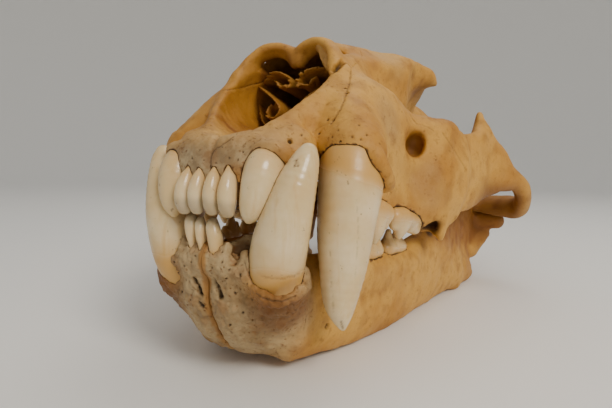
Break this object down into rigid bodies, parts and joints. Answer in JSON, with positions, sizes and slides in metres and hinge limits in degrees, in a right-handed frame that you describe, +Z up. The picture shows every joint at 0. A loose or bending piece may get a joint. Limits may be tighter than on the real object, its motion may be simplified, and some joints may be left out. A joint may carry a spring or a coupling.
{
  "type": "panthera onca skull",
  "caption": "Dry skull of a big cat with its lower jaw closed beneath it: long canines, cheekbone arches and a crested braincase, resting on the lower edges of the jaw.",
  "frame": {"origin": "on the ground, in the middle of the skull's bounding box", "axes": "+X to the animal's left, +Y towards the back of the head, +Z up; the lower edges of the jaw lie on the ground"},
  "size_m": [0.1738, 0.2704, 0.1203],
  "materials": {
    "cranium_bone": "dry bone, golden ochre, grey and porous at the snout",
    "jaw_bone": "dry bone, grey-tan and porous at the chin",
    "tooth": "ivory enamel, amber at the necks"
  },
  "bodies": {
    "root": {"cranium": "cranium_bone", "mandible_left": "jaw_bone", "mandible_right": "jaw_bone", "upper_incisor_1_left": "tooth", "upper_incisor_1_right": "tooth", "upper_incisor_2_left": "tooth", "upper_incisor_2_right": "tooth", "upper_incisor_3_left": "tooth", "upper_incisor_3_right": "tooth", "upper_canine_left": "tooth", "upper_canine_right": "tooth", "upper_premolar_3_left": "tooth", "upper_premolar_3_right": "tooth", "upper_carnassial_left": "tooth", "upper_carnassial_right": "tooth", "upper_molar_left": "tooth", "upper_molar_right": "tooth", "lower_canine_left": "tooth", "lower_canine_right": "tooth", "lower_premolar_3_left": "tooth", "lower_premolar_3_right": "tooth", "lower_premolar_4_left": "tooth", "lower_premolar_4_right": "tooth", "lower_carnassial_left": "tooth", "lower_carnassial_right": "tooth", "lower_incisor_1_left": "tooth", "lower_incisor_1_right": "tooth", "lower_incisor_2_right": "tooth"}
  },
  "joints": []
}
